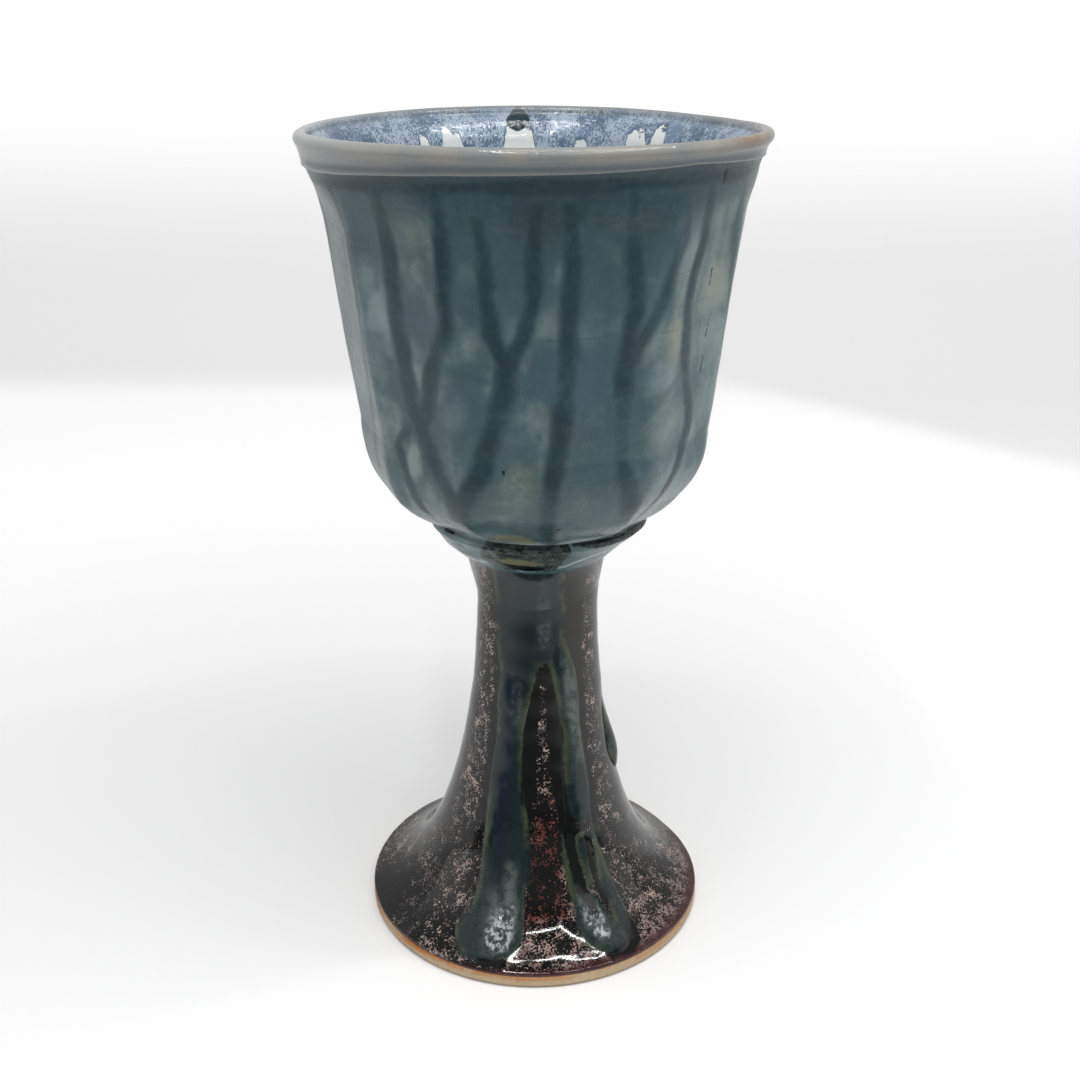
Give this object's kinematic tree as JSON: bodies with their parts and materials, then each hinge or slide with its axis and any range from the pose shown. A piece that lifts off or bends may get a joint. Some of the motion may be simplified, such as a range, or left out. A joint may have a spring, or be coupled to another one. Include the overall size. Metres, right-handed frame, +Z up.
{
  "type": "goblet",
  "caption": "Hand-thrown stoneware goblet: a faceted cup with a beaded lip on a hollow flared stem and foot, with raised glaze runs.",
  "frame": {"origin": "middle of the bare foot ring, on the surface that the goblet stands on", "axes": "+Z up along the goblet's axis to the lip; -Y towards the front of the picture, +X to its right"},
  "size_m": [0.095, 0.095, 0.1788],
  "materials": {
    "clay": "bare fired stoneware, matt buff with orange flashing at the glaze line",
    "dark_glaze": "glossy black-brown glaze with pinkish-beige and rust speckle",
    "blue_green_glaze": "glossy blue-green glaze with darker soft streaks where it ran thick",
    "liner_glaze": "glossy white liner glaze, mottled blue towards the lip",
    "run_glaze": "thick glassy dark teal glaze with olive edges"
  },
  "bodies": {
    "root": {"stem_foot": "clay", "joint_collar": "clay", "bowl": "clay", "stem_glaze": "dark_glaze", "collar_glaze": "blue_green_glaze", "bowl_glaze": "blue_green_glaze", "liner_glaze": "liner_glaze", "glaze_run_left": "run_glaze", "glaze_run_right": "run_glaze", "glaze_run_side": "run_glaze", "glaze_run_back_right": "run_glaze", "glaze_run_back_left": "run_glaze"}
  },
  "joints": []
}
